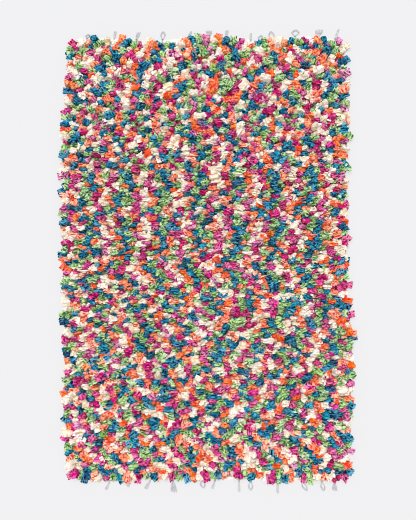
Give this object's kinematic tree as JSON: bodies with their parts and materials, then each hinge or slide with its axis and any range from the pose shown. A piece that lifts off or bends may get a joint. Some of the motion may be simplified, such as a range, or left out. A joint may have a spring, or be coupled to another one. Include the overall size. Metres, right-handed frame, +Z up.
{
  "type": "rag rug",
  "caption": "Rectangular shaggy rag rug: short cotton rag strips in mixed colours knotted on a woven ground, with knotted warp ends.",
  "frame": {"origin": "on the floor, under the middle of the box that holds the pile and the warp ends", "axes": "+X to the rug's right seen from above, +Y along the rug to its head end, +Z up out of the pile"},
  "size_m": [1.0317, 1.6234, 0.032],
  "materials": {
    "rag_cotton": "matte crumpled cotton rag in plain teal, magenta, orange, sage green and cream strips, mixed at random",
    "warp_cotton": "matte off-white twisted cotton warp and plain-weave heading"
  },
  "bodies": {
    "root": {"rag_pile": "rag_cotton", "head_fringe": "warp_cotton", "foot_fringe": "warp_cotton"}
  },
  "joints": []
}
